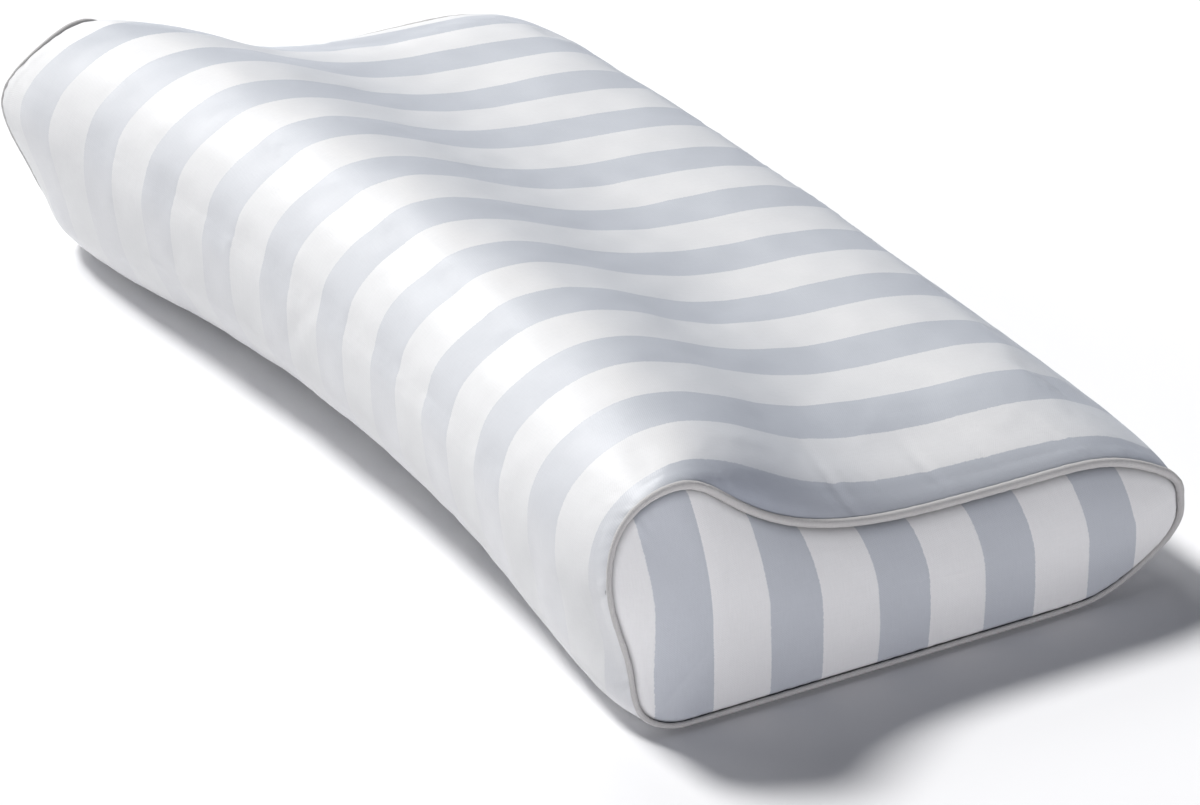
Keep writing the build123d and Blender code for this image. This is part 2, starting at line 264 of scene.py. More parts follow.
def ripples(v, wavelength, seed):
    """Irregular waves along one direction."""
    draw = np.random.default_rng(seed)
    total = 0 * v
    for _ in range(9):
        size = math.tau / (wavelength * draw.uniform(0.6, 1.7))
        total = total + np.sin(size * v + draw.uniform(0, math.tau))
    return total / 3.0


def setback_of(normal):
    """How far the end seam is set back from the end panel's face, from the outline's normals."""
    top = np.clip(normal[..., 1], 0, 1)
    front = np.clip(-normal[..., 0], 0, 1)
    back = np.clip(normal[..., 0], 0, 1)
    return SETBACK + SETBACK_TOP * top + SETBACK_FRONT * front + SETBACK_BACK * back * (1 - 0.5 * top)


# The far end was put down a little askew.
FAR_LENGTH = 105.0         # how far from the end its shape is changed
FAR_FRONT = 20.0           # the change starts here and grows towards the front
FAR_REACH = 120.0
FAR_FOOT_TUCK = 10.0       # how far the foot of the front face is tucked in
FAR_FOOT_HEIGHT = 75.0
FAR_BULGE_OUT = 8.0        # how far the front face bulges past the rest of the end
FAR_BULGE_FORWARD = 4.5
FAR_BULGE_LOW = 35.0       # the bulge is full from this height
FAR_BULGE_HIGH = 80.0      # to this one, and falls off above it
FAR_BULGE_FALL = 35.0


def eased(share):
    """0 to 1 with a soft start and end."""
    share = np.clip(share, 0, 1)
    return share * share * (3 - 2 * share)


def tucked(points):
    """Points with the front foot tucked in and the front face bulged out at the far end."""
    x, y, z = points[:, 0], points[:, 1], points[:, 2]
    near = eased((FAR_LENGTH - SIDE_FACE - x) / FAR_LENGTH) * eased((FAR_FRONT - y) / FAR_REACH)
    tuck = FAR_FOOT_TUCK * near * (1 - np.clip(z / FAR_FOOT_HEIGHT, 0, 1))
    bulge = near * eased(z / FAR_BULGE_LOW) * (1 - eased((z - FAR_BULGE_HIGH) / FAR_BULGE_FALL))
    return np.column_stack([x + tuck - FAR_BULGE_OUT * bulge, y + tuck - FAR_BULGE_FORWARD * bulge, z])


# Meshes.
def make_piece(name, points, faces, material, body="pillow", fabric=None, satin=None):
    """A smooth mesh piece from points in millimetres in the shape functions' frame. fabric is (u, v) in
    millimetres on the flat fabric, kept as a UV map in metres. satin is (share of painted sheen and shade
    by facing, painted shade next to the piping)."""
    mesh = bpy.data.meshes.new(name)
    moved = (tucked(np.asarray(points, float)) + (0, SHIFT_Y, SHIFT_Z)) * MM
    mesh.from_pydata(moved.tolist(), [], faces.tolist() if isinstance(faces, np.ndarray) else faces)
    corners = np.empty(len(mesh.loops), int)
    mesh.loops.foreach_get("vertex_index", corners)
    if fabric is not None:
        layer = mesh.uv_layers.new(name="fabric")
        layer.data.foreach_set("uv", (np.asarray(fabric, float)[corners] * MM).ravel())
    if satin is not None:
        layer = mesh.uv_layers.new(name="satin")
        layer.data.foreach_set("uv", np.asarray(satin, float).reshape(-1, 2)[corners].ravel())
    mesh.validate()
    mesh.shade_smooth()
    mesh.materials.append(material)
    piece = bpy.data.objects.new(name, mesh)
    bpy.context.scene.collection.objects.link(piece)
    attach(piece, body)
    return piece


def grid_faces(rows, columns, close_rows=False, close_columns=False, flip=False):
    """Quads of a grid whose vertex (row, column) is number row * columns + column."""
    r = np.arange(rows if close_rows else rows - 1)
    c = np.arange(columns if close_columns else columns - 1)
    r, c = np.meshgrid(r, c, indexing="ij")
    r2, c2 = (r + 1) % rows, (c + 1) % columns
    quads = np.stack([r * columns + c, r * columns + c2, r2 * columns + c2, r2 * columns + c], axis=-1)
    quads = quads.reshape(-1, 4)
    return quads[:, ::-1] if flip else quads


def tube(path, radius, sides, first_axis, second_axis, closed=False):
    """Points and quads of a tube round path (n, 3). The axes are unit vectors (n, 3) across it."""
    angle = np.arange(sides) * math.tau / sides
    radius = np.broadcast_to(np.asarray(radius, float), (len(path),))[:, None, None]
    cosine, sine = np.cos(angle)[None, :, None], np.sin(angle)[None, :, None]
    ring = cosine * first_axis[:, None] + sine * second_axis[:, None]
    points = path[:, None] + radius * ring
    faces = grid_faces(len(path), sides, close_rows=closed, close_columns=True)
    return points.reshape(-1, 3), faces


def across_path(path):
    """Two unit axes across an open path, without twist for paths that stay near a plane."""
    run = np.gradient(path, axis=0)
    run /= np.maximum(np.linalg.norm(run, axis=1, keepdims=True), 1e-9)
    side = np.cross(run, (0.13, 0.97, 0.21))
    side /= np.linalg.norm(side, axis=1, keepdims=True)
    return side, np.cross(run, side)


class Parts:
    """Several meshes gathered into one."""

    def __init__(self):
        self.points = []
        self.faces = []
        self.total = 0

    def add(self, points, faces):
        self.points.append(np.asarray(points, float))
        self.faces.extend((np.asarray(faces) + self.total).tolist())
        self.total += len(points)

    def all_points(self):
        return np.concatenate(self.points)

    def piece(self, name, material, slot):
        return make_piece(name, self.all_points(), self.faces, material)


# Stations along the pillow, as shares of the way to the end seam.
SEAM_TOP_X = SIDE_FACE - SETBACK - SETBACK_TOP
coarse = np.arange(0, SEAM_TOP_X - EDGE_BAND, COLUMN_STEP)
fine = np.linspace(SEAM_TOP_X - EDGE_BAND, SEAM_TOP_X, int(EDGE_BAND / EDGE_STEP) + 1)
half_stations = np.concatenate([coarse, fine]) / SEAM_TOP_X
STATIONS = np.concatenate([-half_stations[:0:-1], half_stations])


def seam_outline(step=ROW_STEP):
    """The closed outline of the end seam (n, y z), and how many points each stretch has."""
    top_rows, foot_rows = section_rows(1.0, step)
    top, foot = top_rows[:, 0], foot_rows[:, 0]
    wall_count = max(2, int((top[-1, 1] - foot[0, 1]) / step))
    wall = top[-1] + np.linspace(0, 1, wall_count + 1)[1:-1, None] * (foot[0] - top[-1])
    base_count = int((foot[-1, 0] - top[0, 0]) / step)
    base = foot[-1] + np.linspace(0, 1, base_count + 1)[1:-1, None] * (top[0] - foot[-1])
    return np.concatenate([top, wall, foot, base]), (len(top), len(wall), len(foot), len(base))


OUTLINE, STRETCHES = seam_outline()
OUTLINE_NORMAL = outward(OUTLINE, closed=True)
OUTLINE_SETBACK = smoothed(setback_of(OUTLINE_NORMAL), 60, closed=True)
OUTLINE_SEAM_X = SIDE_FACE - OUTLINE_SETBACK
OUTLINE_ARC = arc_length(OUTLINE)


# Materials.
class Nodes:
    """A small helper for building node trees."""

    def __init__(self, name):
        self.material = bpy.data.materials.new(name)
        self.material.use_nodes = True
        self.tree = self.material.node_tree
        self.tree.nodes.clear()
        self.output = self.tree.nodes.new("ShaderNodeOutputMaterial")

    def add(self, kind, inputs=None, **settings):
        node = self.tree.nodes.new("ShaderNode" + kind)
        for key, value in settings.items():
            setattr(node, key, value)
        for key, value in (inputs or {}).items():
            if isinstance(value, bpy.types.NodeSocket):
                self.tree.links.new(value, node.inputs[key])
            else:
                node.inputs[key].default_value = value
        return node

    def math(self, operation, first, second=0.0, third=0.0):
        return self.add("Math", {0: first, 1: second, 2: third}, operation=operation).outputs[0]

    def mix(self, factor, first, second):
        node = self.tree.nodes.new("ShaderNodeMix")
        node.data_type = "RGBA"
        for index, value in ((0, factor), (6, first), (7, second)):
            if isinstance(value, bpy.types.NodeSocket):
                self.tree.links.new(value, node.inputs[index])
            else:
                node.inputs[index].default_value = value
        return node.outputs[2]

    def noise(self, vector, scale, detail=2.0, rough=0.5):
        inputs = {"Scale": scale, "Detail": detail, "Roughness": rough}
        if vector is not None:
            inputs["Vector"] = vector
        return self.add("TexNoise", inputs).outputs["Fac"]

    def scaled(self, vector, factors):
        return self.add("VectorMath", {0: vector, 1: factors}, operation="MULTIPLY").outputs[0]

    def bump(self, height, strength, distance):
        inputs = {"Height": height, "Strength": strength, "Distance": distance}
        return self.add("Bump", inputs).outputs[0]

    def times(self, first, second):
        return self.math("MULTIPLY", first, second)

    def plus(self, first, second):
        return self.math("ADD", first, second)

    def principled(self, inputs):
        return self.add("BsdfPrincipled", inputs).outputs[0]

    def finish(self, shader):
        self.tree.links.new(shader, self.output.inputs["Surface"])
        return self.material


def rgb(red, green, blue):
    return (red, green, blue, 1.0)


# The two satins of the cover in linear colour: seen from above; turned to the front, with painted sheen
# (grey brighter, white a little darker); and turned to the back, with painted shade.
WHITE_SATIN_PAINTED_LIGHT = (rgb(0.79, 0.79, 0.795), rgb(0.76, 0.765, 0.77), rgb(0.50, 0.54, 0.61))
GREY_SATIN_PAINTED_LIGHT = (rgb(0.52, 0.545, 0.59), rgb(0.715, 0.72, 0.735), rgb(0.43, 0.465, 0.54))
THREAD_PITCH = 0.0011      # metres, of the weave's relief
STRIPE_BLUR = 0.0035       # width of a stripe's edge, as a share of the pitch
STRIPE_JITTER = 0.0014     # metres, how uneven that edge is
PAINTED_GROOVE_SHADE = 0.6         # how much painted shade darkens the fabric next to the piping


def weave_height(nodes, across, along, pitch):
    """Height of a plain weave, from two coordinates in metres."""
    turn = math.tau / pitch
    waves_across = nodes.math("SINE", nodes.times(across, turn))
    waves_along = nodes.math("SINE", nodes.times(along, turn))
    return nodes.times(waves_across, waves_along)


def cover_fabric(name, stripe_start):
    """Satin damask: grey and white warp stripes on the fabric's u, with threads and soft slubs, and sheen
    and shade painted in from the satin map.
    """
    nodes = Nodes(name)
    flat = nodes.add("UVMap", uv_map="fabric").outputs[0]
    split = nodes.add("SeparateXYZ", {0: flat})
    # Thread by thread, the edge of a stripe is a little uneven.
    ragged = nodes.noise(nodes.scaled(flat, (60, 1300, 0)), 1.0, 2.0, 0.7)
    jitter = nodes.math("MULTIPLY_ADD", ragged, STRIPE_JITTER, -STRIPE_JITTER / 2)
    from_start = nodes.math("SUBTRACT", nodes.plus(split.outputs[0], jitter), stripe_start * MM)
    phase = nodes.math("FRACT", nodes.math("DIVIDE", from_start, STRIPE_PITCH * MM))
    width = STRIPE_WIDTH / STRIPE_PITCH
    rise = nodes.add("MapRange", {0: phase, 1: 0.0, 2: STRIPE_BLUR}).outputs[0]
    fall = nodes.add("MapRange", {0: phase, 1: width, 2: width + STRIPE_BLUR, 3: 1.0, 4: 0.0}).outputs[0]
    grey = nodes.times(rise, fall)

    slub = nodes.noise(nodes.scaled(flat, (1500, 130, 0)), 1.0, 3.0, 0.6)
    cross_slub = nodes.noise(nodes.scaled(flat, (140, 1300, 0)), 1.0, 3.0, 0.6)
    threads = nodes.plus(nodes.times(slub, 0.6), nodes.times(cross_slub, 0.4))
    cloud = nodes.noise(nodes.scaled(flat, (14, 14, 0)), 1.0, 2.0)
    thread_tone = nodes.math("MULTIPLY_ADD", threads, 0.14, 0.93)
    tone = nodes.plus(thread_tone, nodes.math("MULTIPLY_ADD", cloud, 0.05, -0.025))
    # Painted sheen and shade by where the surface faces: the grey stripes are painted brighter towards
    # the front, and both kinds painted darker towards the back. Next to the piping, where the fabric dips
    # behind it, shade is painted into its colour.
    painted_light_map = nodes.add("SeparateXYZ", {0: nodes.add("UVMap", uv_map="satin").outputs[0]})
    painted_sheen_share, painted_groove_shade = painted_light_map.outputs[0], painted_light_map.outputs[1]
    painted_shade_share = nodes.times(painted_sheen_share, -1.0)
    satins = []
    for above, front, behind in (WHITE_SATIN_PAINTED_LIGHT, GREY_SATIN_PAINTED_LIGHT):
        satins.append(nodes.mix(painted_shade_share, nodes.mix(painted_sheen_share, above, front), behind))
    # Painted shade next to the piping darkens the colour.
    tone = nodes.times(tone, nodes.math("MULTIPLY_ADD", painted_groove_shade, -PAINTED_GROOVE_SHADE, 1.0))
    colour = nodes.scaled(nodes.mix(grey, *satins), tone)

    weave = weave_height(nodes, split.outputs[0], split.outputs[1], THREAD_PITCH)
    normal = nodes.bump(nodes.plus(nodes.times(weave, 0.25), threads), 0.28, 0.0003)
    tangent_u = nodes.add("Tangent", direction_type="UV_MAP", uv_map="fabric").outputs[0]

    def satin(turn, roughness):
        return nodes.principled(
            {
                "Base Color": colour,
                "Roughness": roughness,
                "Specular IOR Level": 0.3,
                "Anisotropic": 0.7,
                "Anisotropic Rotation": turn,
                "Sheen Weight": 0.08,
                "Sheen Roughness": 0.45,
                "Normal": normal,
                "Tangent": tangent_u,
            }
        )

    mixed = nodes.add("MixShader", {0: grey, 1: satin(0.0, 0.5), 2: satin(0.25, 0.42)}).outputs[0]
    return nodes.finish(mixed)


def plain_fabric(name, colour, pitch=0.0009, bump=0.35, rough=0.85, diagonal=False, variation=0.12):
    """A plain woven or knitted fabric on object coordinates."""
    nodes = Nodes(name)
    place = nodes.add("TexCoord").outputs["Object"]
    if diagonal:
        place = nodes.add("Mapping", {"Vector": place, "Rotation": (0.7, 0.6, 0.8)}).outputs[0]
    split = nodes.add("SeparateXYZ", {0: place})
    weave = weave_height(nodes, split.outputs[0], nodes.plus(split.outputs[1], split.outputs[2]), pitch)
    slub = nodes.noise(nodes.scaled(place, (900, 900, 900)), 1.0, 3.0, 0.6)
    cloud = nodes.noise(nodes.scaled(place, (40, 40, 40)), 1.0, 2.0)
    tone = nodes.plus(nodes.times(slub, variation), nodes.times(cloud, variation / 2))
    tone = nodes.plus(tone, 1.0 - 0.75 * variation)
    shader = nodes.principled(
        {
            "Base Color": nodes.scaled(colour[:3], tone),
            "Roughness": rough,
            "Specular IOR Level": 0.3,
            "Sheen Weight": 0.2,
            "Sheen Roughness": 0.5,
            "Normal": nodes.bump(nodes.plus(weave, slub), bump, 0.0002),
        }
    )
    return nodes.finish(shader)


def foam_material():
    """Cream viscoelastic foam with open cells."""
    nodes = Nodes("foam")
    place = nodes.add("TexCoord").outputs["Object"]
    cells = nodes.add("TexVoronoi", {"Vector": place, "Scale": 700.0}).outputs["Distance"]
    big_cells = nodes.add("TexVoronoi", {"Vector": place, "Scale": 190.0}).outputs["Distance"]
    depth = nodes.plus(cells, nodes.times(big_cells, 0.6))
    shader = nodes.principled(
        {
            "Base Color": nodes.mix(cells, rgb(0.62, 0.54, 0.40), rgb(0.84, 0.78, 0.64)),
            "Roughness": 0.9,
            "Subsurface Weight": 0.1,
            "Subsurface Radius": (0.004, 0.003, 0.002),
            "Normal": nodes.bump(depth, 0.6, 0.0006),
        }
    )
    return nodes.finish(shader)


SCUFF_GRAIN = 0.08


def hard_material(name, colour, metallic, rough):
    """Moulded nylon, enamelled or bare metal, with fine wear in its roughness."""
    nodes = Nodes(name)
    place = nodes.add("TexCoord").outputs["Object"]
    wear = nodes.noise(nodes.scaled(place, (700, 700, 700)), 1.0, 4.0, 0.6)
    scuff = nodes.noise(nodes.scaled(place, (160, 900, 900)), 1.0, 3.0, 0.5)
    roughness = nodes.plus(
        nodes.math("MULTIPLY_ADD", wear, 0.22, rough - 0.11), nodes.times(scuff, SCUFF_GRAIN)
    )
    worn = rgb(*(0.82 * channel for channel in colour[:3]))
    shader = nodes.principled(
        {
            "Base Color": nodes.mix(nodes.times(wear, 0.35), colour, worn),
            "Metallic": metallic,
            "Roughness": roughness,
            "Normal": nodes.bump(nodes.plus(wear, scuff), 0.12, 0.0001),
        }
    )
    return nodes.finish(shader)


wrap_fabric = cover_fabric("cover_satin_wrap", WRAP_STRIPE_START)
end_fabric = cover_fabric("cover_satin_end", END_STRIPE_START)
underside_fabric = plain_fabric("underside_cotton", rgb(0.80, 0.80, 0.79), 0.0012)
piping_fabric = plain_fabric(
    "piping_fabric", rgb(0.54, 0.53, 0.525), 0.0009, 0.5, 0.8, diagonal=True, variation=0.22
)
cord_fabric = plain_fabric("cord_cotton", rgb(0.80, 0.79, 0.74), 0.0015, 0.7)
liner_fabric = plain_fabric("liner_jersey", rgb(0.84, 0.84, 0.82), 0.0016, 0.5)
tape_fabric = plain_fabric("zip_tape_weave", rgb(0.78, 0.78, 0.79), 0.0011, 0.7, diagonal=True)
label_fabric = plain_fabric("label_satin", rgb(0.86, 0.86, 0.84), 0.0006, 0.25, 0.45, variation=0.05)
thread_fabric = plain_fabric("thread", rgb(0.80, 0.80, 0.80), 0.0005, 0.6, 0.6)
foam_look = foam_material()
coil_nylon = hard_material("coil_nylon", rgb(0.80, 0.80, 0.81), 0.0, 0.34)
stop_metal = hard_material("stop_metal", rgb(0.62, 0.62, 0.63), 1.0, 0.36)
slider_enamel = hard_material("slider_enamel", rgb(0.80, 0.80, 0.81), 0.15, 0.30)


# Closed shapes inside the cover.
MEDIAL = np.array([[-92.0, 47.0], [96.0, 33.0]])  # ends (y, z) of the end panels' middle line


def medial_points(points):
    """Nearest point of the end panel's middle line to each outline point."""
    start, run = MEDIAL[0], MEDIAL[1] - MEDIAL[0]
    share = np.clip(((points - start) @ run) / (run @ run), 0, 1)
    return start + share[:, None] * run


def spread(start, end, count):
    """Rows evenly between two rows, without the first."""
    return [start + (end - start) * step / count for step in range(1, count + 1)]


INNER_ROW_STEP = 6.0
INNER_STATIONS = np.sin(np.linspace(-1, 1, 61) * math.pi / 2)
CAP_RINGS = 14
CAP_EDGE = 1.0             # how far inside the cover's end seam a cap starts


def closed_rows(s, step):
    """Closed section rows (row, station, y z) at each s."""
    top, foot = section_rows(s, step)
    wall = spread(top[-1], foot[0], 4)[:-1]
    base = spread(foot[-1], top[0], 30)[:-1]
    return np.array(list(top) + wall + list(foot) + base)


def inner_shell(inset):
    """Sleeve points (row, station, xyz) and one cap (ring, row, xyz) of the body moved inwards."""
    rows = closed_rows(INNER_STATIONS, INNER_ROW_STEP)
    normal = outward(rows, closed=True)
    end_setback = smoothed(setback_of(normal[:, -1]), 20, closed=True)
    rows = rows - inset * normal
    end_x = SIDE_FACE - end_setback - CAP_EDGE - inset
    sleeve = np.concatenate([(INNER_STATIONS[None] * end_x[:, None])[..., None], rows], axis=-1)
    edge = rows[:, -1]
    middle = medial_points(edge)
    share = (np.arange(CAP_RINGS + 1) / CAP_RINGS)[:, None]
    flat = edge[None] + share[..., None] * (middle - edge)[None]
    x = end_x[None] + (end_setback + CAP_EDGE)[None] * (1 - (1 - share) ** 1.8)
    cap = np.concatenate([x[..., None], flat], axis=-1)
    return sleeve, cap


def cap_parts(parts, cap, side):
    """Adds a cap at one end. side is 1 for the near end and -1 for the far one."""
    points = cap.reshape(-1, 3) * (side, 1, 1)
    parts.add(points, grid_faces(len(cap), cap.shape[1], close_columns=True, flip=side > 0))


def join_points(mesh, distance, face_outwards=False):
    """Merges vertices that lie within a distance in metres of each other."""
    shape = bmesh.new()
    shape.from_mesh(mesh)
    bmesh.ops.remove_doubles(shape, verts=shape.verts, dist=distance)
    if face_outwards:
        bmesh.ops.recalc_face_normals(shape, faces=shape.faces)
    shape.to_mesh(mesh)
    shape.free()


# The filled cover, swollen by a cloth simulation between its seams.
VOXEL = 0.006              # metres
PRESSURE = 4.0
LAST_FRAME = 20
SWELL_CAP = 4.0            # the most that any point may swell, in millimetres
SWELL_START = 2.0          # how much smaller the shape is before it swells
PINNED_BAND = 5.0          # the cover is held this near to its end seams,
PINNED_HEIGHT = 4.0        # and below this height
SWELL_LEAST = 0.05         # what counts as swollen
SWELL_RANGE = 1.2          # how far the cover may leave its mean shape


def simulated_swell(start_points, faces, pinned_path):
    """Runs the simulation and returns (places, swell), both in millimetres, for swell_field()."""
    mesh = bpy.data.meshes.new("filled_cover")
    mesh.from_pydata((start_points * MM).tolist(), [], np.asarray(faces).tolist())
    filled = bpy.data.objects.new("filled_cover", mesh)
    bpy.context.scene.collection.objects.link(filled)
    bpy.context.view_layer.objects.active = filled
    join_points(mesh, 0.00005, face_outwards=True)
    remesh = filled.modifiers.new("voxels", "REMESH")
    remesh.mode = "VOXEL"
    remesh.voxel_size = VOXEL
    bpy.ops.object.modifier_apply(modifier="voxels")

    count = len(filled.data.vertices)
    before = np.empty(count * 3)
    filled.data.vertices.foreach_get("co", before)
    normals = np.empty(count * 3)
    filled.data.vertices.foreach_get("normal", normals)
    before, normals = before.reshape(-1, 3), normals.reshape(-1, 3)
    tree = KDTree(len(pinned_path))
    for index, point in enumerate(pinned_path * MM):
        tree.insert(point, index)
    tree.balance()
    pins = filled.vertex_groups.new(name="pins")
    for index, point in enumerate(before):
        if tree.find(point)[2] / MM < PINNED_BAND or point[2] / MM < PINNED_HEIGHT:
            pins.add([index], 1.0, "ADD")

    cloth = filled.modifiers.new("cloth", "CLOTH")
    settings = cloth.settings
    settings.quality = 5
    settings.mass = 0.3
    settings.tension_stiffness = settings.compression_stiffness = 15
    settings.bending_stiffness = 0.5
    settings.use_pressure = True
    settings.uniform_pressure_force = PRESSURE
    settings.vertex_group_mass = "pins"
    settings.effector_weights.gravity = 0.0
    cloth.point_cache.frame_start, cloth.point_cache.frame_end = 1, LAST_FRAME
    for frame_number in range(1, LAST_FRAME + 1):
        bpy.context.scene.frame_set(frame_number)
    swollen = filled.evaluated_get(bpy.context.evaluated_depsgraph_get())
    after = np.empty(count * 3)
    swollen.data.vertices.foreach_get("co", after)
    swell = ((after.reshape(-1, 3) - before) * normals).sum(axis=1) / MM
    bpy.context.scene.frame_set(1)
    bpy.data.objects.remove(filled, do_unlink=True)
    print("swell in mm: mean", round(float(swell.mean()), 2), "most", round(float(swell.max()), 2))
    return before / MM, np.clip(swell, -SWELL_CAP, SWELL_CAP)


def swell_field(places, swell):
    """A function that gives the swell at points (..., 3), from the four nearest simulated ones."""
    tree = KDTree(len(places))
    for index, point in enumerate(places):
        tree.insert(point, index)
    tree.balance()

    def swell_at(points):
        flat = points.reshape(-1, 3)
        result = np.empty(len(flat))
        for index, point in enumerate(flat):
            found = tree.find_n(point, 4)
            weights = [1.0 / (distance + 1.0) ** 2 for _, _, distance in found]
            total = sum(weight * swell[number] for weight, (_, number, _) in zip(weights, found))
            result[index] = total / sum(weights)
        return result.reshape(points.shape[:-1])

    return swell_at


def cover_swell():
    """The swell of the filled cover as a function of place."""
    start_sleeve, start_cap = inner_shell(SWELL_START)
    parts = Parts()
    parts.add(start_sleeve.reshape(-1, 3), grid_faces(*start_sleeve.shape[:2], close_rows=True))
    for end in (-1, 1):
        cap_parts(parts, start_cap, end)
    seams = [np.column_stack([end * OUTLINE_SEAM_X, OUTLINE]) for end in (-1, 1)]
    places, swell = simulated_swell(parts.all_points(), parts.faces, np.concatenate(seams))
    free = swell[np.abs(swell) > SWELL_LEAST]
    return swell_field(places, np.clip(swell - np.median(free), -SWELL_RANGE, SWELL_RANGE))


swell_at = cover_swell()


# Cover: wrap, back strip and underside.
def pressed(points, normals, depth):
    """Points moved along their normals by -depth."""
    return points - normals * depth[..., None]


def surface_normals(points):
    """Unit normals of a grid (row, station, xyz)."""
    down = np.gradient(points, axis=0)
    along = np.gradient(points, axis=1)
    normal = np.cross(along, down)
    return normal / np.maximum(np.linalg.norm(normal, axis=-1, keepdims=True), 1e-9)


def seam_x_rows(rows_at_seam):
    """Where each row meets the end seam: nearest seam outline point."""
    gaps = np.linalg.norm(rows_at_seam[:, None] - OUTLINE[None], axis=2)
    return OUTLINE_SEAM_X[np.argmin(gaps, axis=1)]


def placed(rows, seam_x):
    """Rows (row, station, y z) as points (row, station, xyz), with x up to each row's seam."""
    x = STATIONS[None, :] * seam_x[:, None]
    return np.concatenate([x[..., None], rows], axis=-1)


def seam_distance(points):
    """How far each point of a grid is from its row's end seam, along the pillow."""
    return np.abs(points[:, -1:, 0]) - np.abs(points[..., 0])


def relief(points, arc, seed):
    """Hollows of the cover, in millimetres: soft undulation, and puckers at the end seams."""
    x = points[..., 0]
    to_seam = seam_distance(points)
    side = np.sign(x)
    depth = 0.35 * waves(x, arc, 75.0, seed) + 0.12 * waves(x, arc, 24.0, seed + 1)
    depth = depth * np.clip(to_seam / 30.0, 0, 1)
    for turn, sign in enumerate((-1, 1)):
        here = side == sign
        lines = ripples(arc + 0.12 * to_seam * ripples(arc, 60.0, seed + 5), 8.5, seed + 10 + turn)
        strength = 0.55 + 0.45 * ripples(arc, 45.0, seed + 20 + turn)
        reach = 4.5 + 2.5 * ripples(arc, 30.0, seed + 30 + turn)
        near = np.exp(-to_seam / np.maximum(reach, 2.0)) * np.clip(to_seam / 1.5, 0, 1)
        depth = depth + here * 0.32 * np.clip(strength, 0.1, 1.4) * lines * near
    return depth


def seam_fade(points):
    """0 at the end seams, rising to 1 within the cover."""
    return np.clip(seam_distance(points) / 8.0, 0, 1)


DRAG_DEPTH = 1.6           # scale of the drag lines' depths below


def drag_lines(points, arc, lines, sign):
    """Depths of short creases that run in from the end seam on one side (1 or -1)."""
    x = points[..., 0]
    to_seam = seam_distance(points)
    depth = 0 * arc
    for place, reach, lean, amount, width in lines:
        middle = place + lean * to_seam
        across = (arc - middle) / width
        along = np.clip(to_seam / 2.0, 0, 1) * np.exp(-((to_seam / reach) ** 2))
        # Each crease has a low ridge on either side.
        crease = np.exp(-(across**2))
        crease = crease - 0.55 * np.exp(-((across - 1.7) ** 2)) - 0.35 * np.exp(-((across + 1.7) ** 2))
        depth = depth + (np.sign(x) == sign) * DRAG_DEPTH * amount * along * crease
    return depth


top_rows, foot_rows = section_rows(STATIONS)
seam_start = top_rows[0, :, 0]
under_front = smoothed(seam_start, 4) + SEAM_SETBACK
under_back = contour(1.0)[1][-1, 0, 0] - SEAM_SETBACK
lift_rows = LIFT * curl(STATIONS)
half_slot = ZIP_LENGTH / 2 + SLOT_OVERRUN

SLOT_ROUNDING = 3.0        # over which the opening narrows at its ends
SLOT_CLOSED = 0.15         # half the gap between the two edges beyond the opening
FOLD_RADIUS = 0.75
FOLD_TAIL = 7.0            # of the fabric behind the fold


def slot_edge(x, toward):
    """Height of the folded edge over or under the zip. toward is 1 for the upper edge."""
    open_here = eased((half_slot - np.abs(x)) / SLOT_ROUNDING)
    return ZIP_HEIGHT + toward * (SLOT_CLOSED + SLOT_HALF * open_here)


def fold_rows(edge, toward):
    """Rows that fold the fabric in at the zip and back on itself."""
    rows = []
    for angle in np.linspace(0, math.pi, 7):
        y = WALL - FOLD_RADIUS * (1 - math.cos(angle))
        z = edge + toward * FOLD_RADIUS * (1 - math.sin(angle))
        rows.append(np.stack([y + 0 * edge, z], axis=-1))
    for share in (0.5, 1.0):
        z = edge + toward * FOLD_TAIL * share
        rows.append(np.stack([WALL - 2 * FOLD_RADIUS + 0 * edge, z], axis=-1))
    return rows


station_x = STATIONS * SEAM_TOP_X
upper_edge = slot_edge(station_x, 1)
lower_edge = slot_edge(station_x, -1)


def underside_fold(edge_y, height, toward):
    """Rows of a seam allowance that turns up inside the cover at an underside seam."""
    rows = []
    for out, up in ((0.0, 0.0), (0.35, 0.25), (0.5, 0.9), (0.5, 4.0)):
        rows.append(np.stack([edge_y + toward * out, height + up], axis=-1))
    return rows


# Wrap panel: from the front underside seam over the top to the upper edge of the zip.
front_seam_rows = underside_fold(under_front - SEAM_GAP, lift_rows, 1)[::-1]
wall_top = top_rows[-1]
upper_end = np.stack([WALL + 0 * upper_edge, upper_edge + FOLD_RADIUS], axis=-1)
wrap_rows = np.array(
    front_seam_rows
    + spread(front_seam_rows[-1], top_rows[0], 3)[:-1]
    + list(top_rows)
    + spread(wall_top, upper_end, 5)[:-1]
    + fold_rows(upper_edge, 1)
)
wrap_points = placed(wrap_rows, smoothed(seam_x_rows(wrap_rows[:, -1]), 3))
wrap_arc = arc_length(wrap_rows)

# Drag lines: place round the outline from the front underside seam, reach, lean, depth, width.
RIGHT_LINES = (
    (250.0, 26.0, 0.25, 0.42, 3.0),
    (276.0, 20.0, -0.15, 0.30, 2.6),
    (300.0, 24.0, 0.20, 0.45, 3.2),
    (331.0, 16.0, 0.10, 0.28, 2.4),
    (372.0, 22.0, -0.10, 0.35, 2.8),
    (398.0, 14.0, 0.15, 0.25, 2.2),
    (182.0, 12.0, 0.10, 0.25, 2.4),
    (92.0, 12.0, -0.20, 0.30, 2.6),
)
LEFT_LINES = ((120.0, 18.0, 0.15, 0.3, 2.8), (210.0, 20.0, -0.2, 0.3, 3.0), (290.0, 22.0, 0.2, 0.4, 3.0))


def row_fade(rows, first, last, turns):
    """0 over the first and last rows and 1 between them, softened."""
    fade = np.ones(len(rows))
    fade[:first] = 0
    fade[-last:] = 0
    return smoothed(fade, turns)[:, None]


